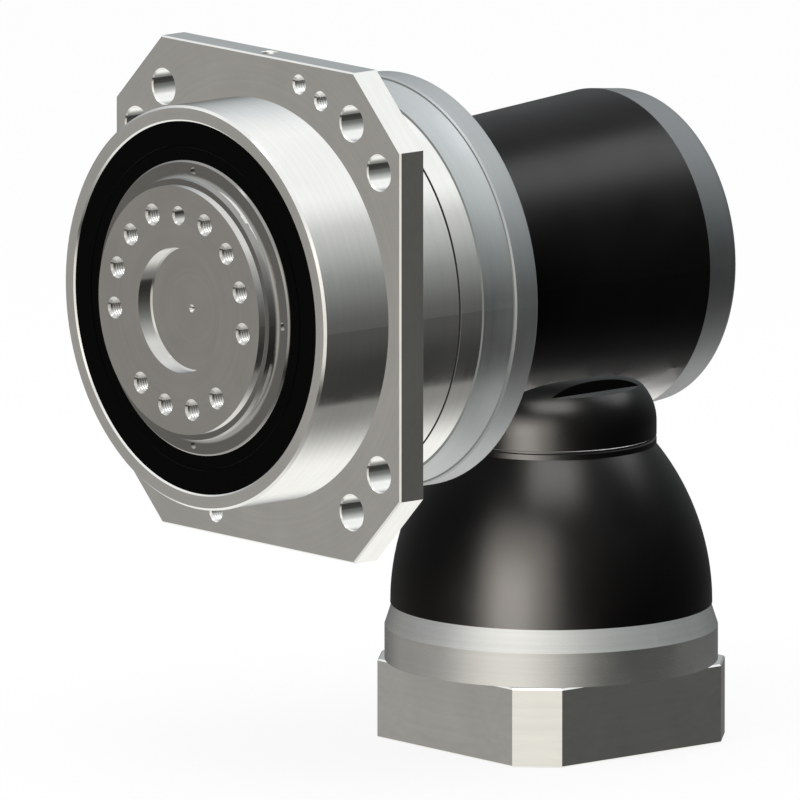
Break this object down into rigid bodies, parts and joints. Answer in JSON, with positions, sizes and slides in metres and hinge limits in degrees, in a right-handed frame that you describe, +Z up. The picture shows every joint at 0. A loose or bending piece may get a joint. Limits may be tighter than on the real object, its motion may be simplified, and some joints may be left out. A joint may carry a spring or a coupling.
{
  "type": "right-angle gearbox",
  "caption": "Right-angle servo gearbox: hypoid input stage in a black housing, planetary output stage, round output flange, chamfered mounting plate and square motor flange.",
  "frame": {"origin": "on the output axis, in the front face of the mounting plate, which is the plane that seats on the machine", "axes": "+Z up; the output flange faces -Y; the motor flange faces -Z, on a vertical axis offset 28 mm to +X"},
  "size_m": [0.2222, 0.3032, 0.3616],
  "materials": {
    "machined_steel": "turned and satin",
    "machined_aluminium": "turned",
    "grey_aluminium": "fine matt, machined",
    "black_paint": "satin black",
    "black_rubber": "matt",
    "black_plastic": "matt",
    "black_oxide_steel": "black oxide",
    "ground_gear_steel": "hardened and ground",
    "bearing_steel": "ground"
  },
  "bodies": {
    "housing": {"output_housing": "machined_steel", "shaft_seal": "black_rubber", "output_bearing_outer_ring": "bearing_steel", "bearing_retainer": "black_oxide_steel", "ring_gear": "machined_steel", "intermediate_flange": "machined_aluminium", "carrier_bearing_outer_ring": "bearing_steel", "hypoid_housing": "black_paint", "crown_front_bearing_outer_ring": "bearing_steel", "crown_rear_bearing_outer_ring": "bearing_steel", "rear_cover": "grey_aluminium", "rear_cover_screws": "black_oxide_steel", "pinion_upper_bearing_outer_ring": "bearing_steel", "pinion_lower_bearing_outer_ring": "bearing_steel", "motor_adapter": "grey_aluminium", "input_seal": "black_rubber", "motor_flange": "grey_aluminium", "motor_flange_screws": "black_oxide_steel", "access_plug": "black_plastic"},
    "output": {"output_flange": "machined_steel", "output_bearing_inner_ring": "bearing_steel", "hub_spacer": "machined_steel", "carrier_front_plate": "machined_steel", "carrier_rear_plate": "machined_steel", "planet_pins": "bearing_steel", "carrier_bearing_inner_ring": "bearing_steel"},
    "output_rollers": {"output_bearing_rollers": "bearing_steel"},
    "carrier_rollers": {"carrier_bearing_rollers": "bearing_steel"},
    "planet_1": {"planet_gear_1": "ground_gear_steel", "planet_needles_1": "bearing_steel"},
    "planet_2": {"planet_gear_2": "ground_gear_steel", "planet_needles_2": "bearing_steel"},
    "planet_3": {"planet_gear_3": "ground_gear_steel", "planet_needles_3": "bearing_steel"},
    "crown": {"crown_shaft": "machined_steel", "crown_gear": "ground_gear_steel", "crown_screws": "black_oxide_steel", "crown_nut": "black_oxide_steel", "sun_gear": "ground_gear_steel", "crown_front_bearing_inner_ring": "bearing_steel", "crown_rear_bearing_inner_ring": "bearing_steel"},
    "crown_front_rollers": {"crown_front_bearing_rollers": "bearing_steel"},
    "crown_rear_rollers": {"crown_rear_bearing_rollers": "bearing_steel"},
    "input": {"pinion_shaft": "ground_gear_steel", "pinion_spacer": "machined_steel", "pinion_nut": "black_oxide_steel", "clamping_hub": "machined_steel", "clamp_screw": "black_oxide_steel", "pinion_upper_bearing_inner_ring": "bearing_steel", "pinion_lower_bearing_inner_ring": "bearing_steel"},
    "upper_rollers": {"pinion_upper_bearing_rollers": "bearing_steel"},
    "lower_rollers": {"pinion_lower_bearing_rollers": "bearing_steel"}
  },
  "joints": [
    {"name": "output_spin", "type": "hinge", "parent": "housing", "child": "output", "pos_m": [0, 0, 0], "axis": [0, 1, 0], "continuous": true},
    {"name": "output_rollers_orbit", "type": "hinge", "parent": "housing", "child": "output_rollers", "pos_m": [0, -0.011, 0], "axis": [0, 1, 0], "continuous": true},
    {"name": "carrier_rollers_orbit", "type": "hinge", "parent": "housing", "child": "carrier_rollers", "pos_m": [0, 0.101, 0], "axis": [0, 1, 0], "continuous": true},
    {"name": "crown_spin", "type": "hinge", "parent": "housing", "child": "crown", "pos_m": [0, 0.14, 0], "axis": [0, 1, 0], "continuous": true},
    {"name": "crown_front_rollers_orbit", "type": "hinge", "parent": "housing", "child": "crown_front_rollers", "pos_m": [0, 0.119, 0], "axis": [0, 1, 0], "continuous": true},
    {"name": "crown_rear_rollers_orbit", "type": "hinge", "parent": "housing", "child": "crown_rear_rollers", "pos_m": [0, 0.213, 0], "axis": [0, 1, 0], "continuous": true},
    {"name": "input_spin", "type": "hinge", "parent": "housing", "child": "input", "pos_m": [0.028, 0.1685, -0.12], "axis": [0, 0, 1], "continuous": true},
    {"name": "upper_rollers_orbit", "type": "hinge", "parent": "housing", "child": "upper_rollers", "pos_m": [0.028, 0.1685, -0.076], "axis": [0, 0, 1], "continuous": true},
    {"name": "lower_rollers_orbit", "type": "hinge", "parent": "housing", "child": "lower_rollers", "pos_m": [0.028, 0.1685, -0.112], "axis": [0, 0, 1], "continuous": true},
    {"name": "planet_1_spin", "type": "hinge", "parent": "output", "child": "planet_1", "pos_m": [0, 0.0635, 0.054], "axis": [0, 1, 0], "continuous": true},
    {"name": "planet_2_spin", "type": "hinge", "parent": "output", "child": "planet_2", "pos_m": [0.04677, 0.0635, -0.027], "axis": [0, 1, 0], "continuous": true},
    {"name": "planet_3_spin", "type": "hinge", "parent": "output", "child": "planet_3", "pos_m": [-0.04677, 0.0635, -0.027], "axis": [0, 1, 0], "continuous": true}
  ],
  "couplings": [
    {"joint": "output_rollers_orbit", "follows": "output_spin", "ratio": 0.46587},
    {"joint": "carrier_rollers_orbit", "follows": "output_spin", "ratio": 0.46462},
    {"joint": "crown_spin", "follows": "output_spin", "ratio": 4},
    {"joint": "crown_front_rollers_orbit", "follows": "output_spin", "ratio": 1.7779},
    {"joint": "crown_rear_rollers_orbit", "follows": "output_spin", "ratio": 1.7779},
    {"joint": "input_spin", "follows": "output_spin", "ratio": -12},
    {"joint": "upper_rollers_orbit", "follows": "output_spin", "ratio": -4.9385},
    {"joint": "lower_rollers_orbit", "follows": "output_spin", "ratio": -4.9385},
    {"joint": "planet_1_spin", "follows": "output_spin", "ratio": -3},
    {"joint": "planet_2_spin", "follows": "output_spin", "ratio": -3},
    {"joint": "planet_3_spin", "follows": "output_spin", "ratio": -3}
  ]
}
